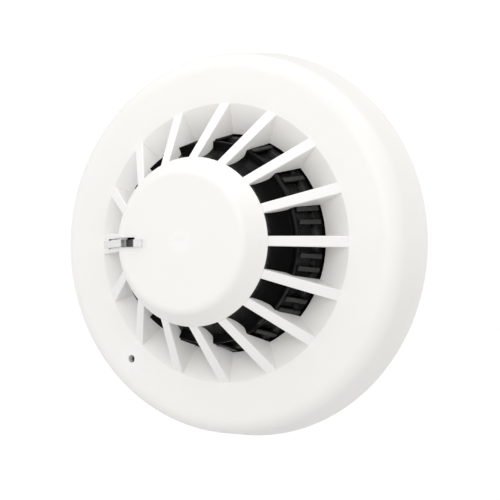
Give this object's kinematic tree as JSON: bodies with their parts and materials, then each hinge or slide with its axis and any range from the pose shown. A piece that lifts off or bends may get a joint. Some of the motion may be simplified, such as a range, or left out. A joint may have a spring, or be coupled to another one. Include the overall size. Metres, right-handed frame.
{
  "type": "heat detector",
  "caption": "Round ceiling heat detector: bayonet head with radial air vanes, front cap, black sensor cage and clear indicator, on a slotted mounting base",
  "frame": {"origin": "centre of the base's back mounting face, where the cable enters", "axes": "-Y is the way the face looks, away from the ceiling or wall; +Y goes into the mounting surface; +Z is the top of the face and +X its right side, with the detector standing as on a wall. For ceiling use turn the part so that -Y points down"},
  "size_m": [0.1, 0.0427, 0.1],
  "materials": {
    "white_cover": "satin moulded, very lightly grained",
    "black_cage": "polished moulded black",
    "black_screen": "fine moulded screen",
    "clear_pipe": "clear polished acrylic",
    "white_chassis": "moulded, plain",
    "white_base": "moulded, fine grain",
    "board": "solder-masked fibreglass laminate",
    "plated_steel": "zinc-plated",
    "contact_metal": "nickel-plated spring brass",
    "component_black": "epoxy mould compound",
    "capacitor_can": "drawn can",
    "resistor_body": "glazed ceramic chip",
    "led_body": "tinted moulded lens",
    "bead": "glass-sealed thermistor bead"
  },
  "bodies": {
    "base": {"base_body": "white_base", "base_contact_1": "contact_metal", "base_contact_2": "contact_metal", "base_contact_3": "contact_metal", "base_contact_4": "contact_metal", "terminal_clamps": "plated_steel", "terminal_screws": "plated_steel"},
    "head": {"outer_cover": "white_cover", "cover_vanes": "white_cover", "led_vane": "white_cover", "front_cap": "white_cover", "light_pipe": "clear_pipe", "sensor_cage": "black_cage", "insect_screen": "black_screen", "head_chassis": "white_chassis", "chassis_screws": "plated_steel", "circuit_board": "board", "thermistor_bead": "bead", "thermistor_leads": "plated_steel", "thermistor_post": "component_black", "status_led": "led_body", "microcontroller": "component_black", "electrolytic_capacitor": "capacitor_can", "line_transistor": "component_black", "surge_suppressors": "component_black", "chip_resistors": "resistor_body", "head_blade_1": "contact_metal", "head_blade_2": "contact_metal", "head_blade_3": "contact_metal", "head_blade_4": "contact_metal"},
    "lock_screw": {"lock_screw": "plated_steel"}
  },
  "joints": [
    {"name": "head_twist", "type": "hinge", "parent": "base", "child": "head", "pos_m": [0, 0, 0], "axis": [0, -1, 0], "range_deg": [0, 16]},
    {"name": "lock_screw_drive", "type": "slide", "parent": "head", "child": "lock_screw", "axis": [0, 1, 0], "range_m": [0, 0.002]}
  ]
}
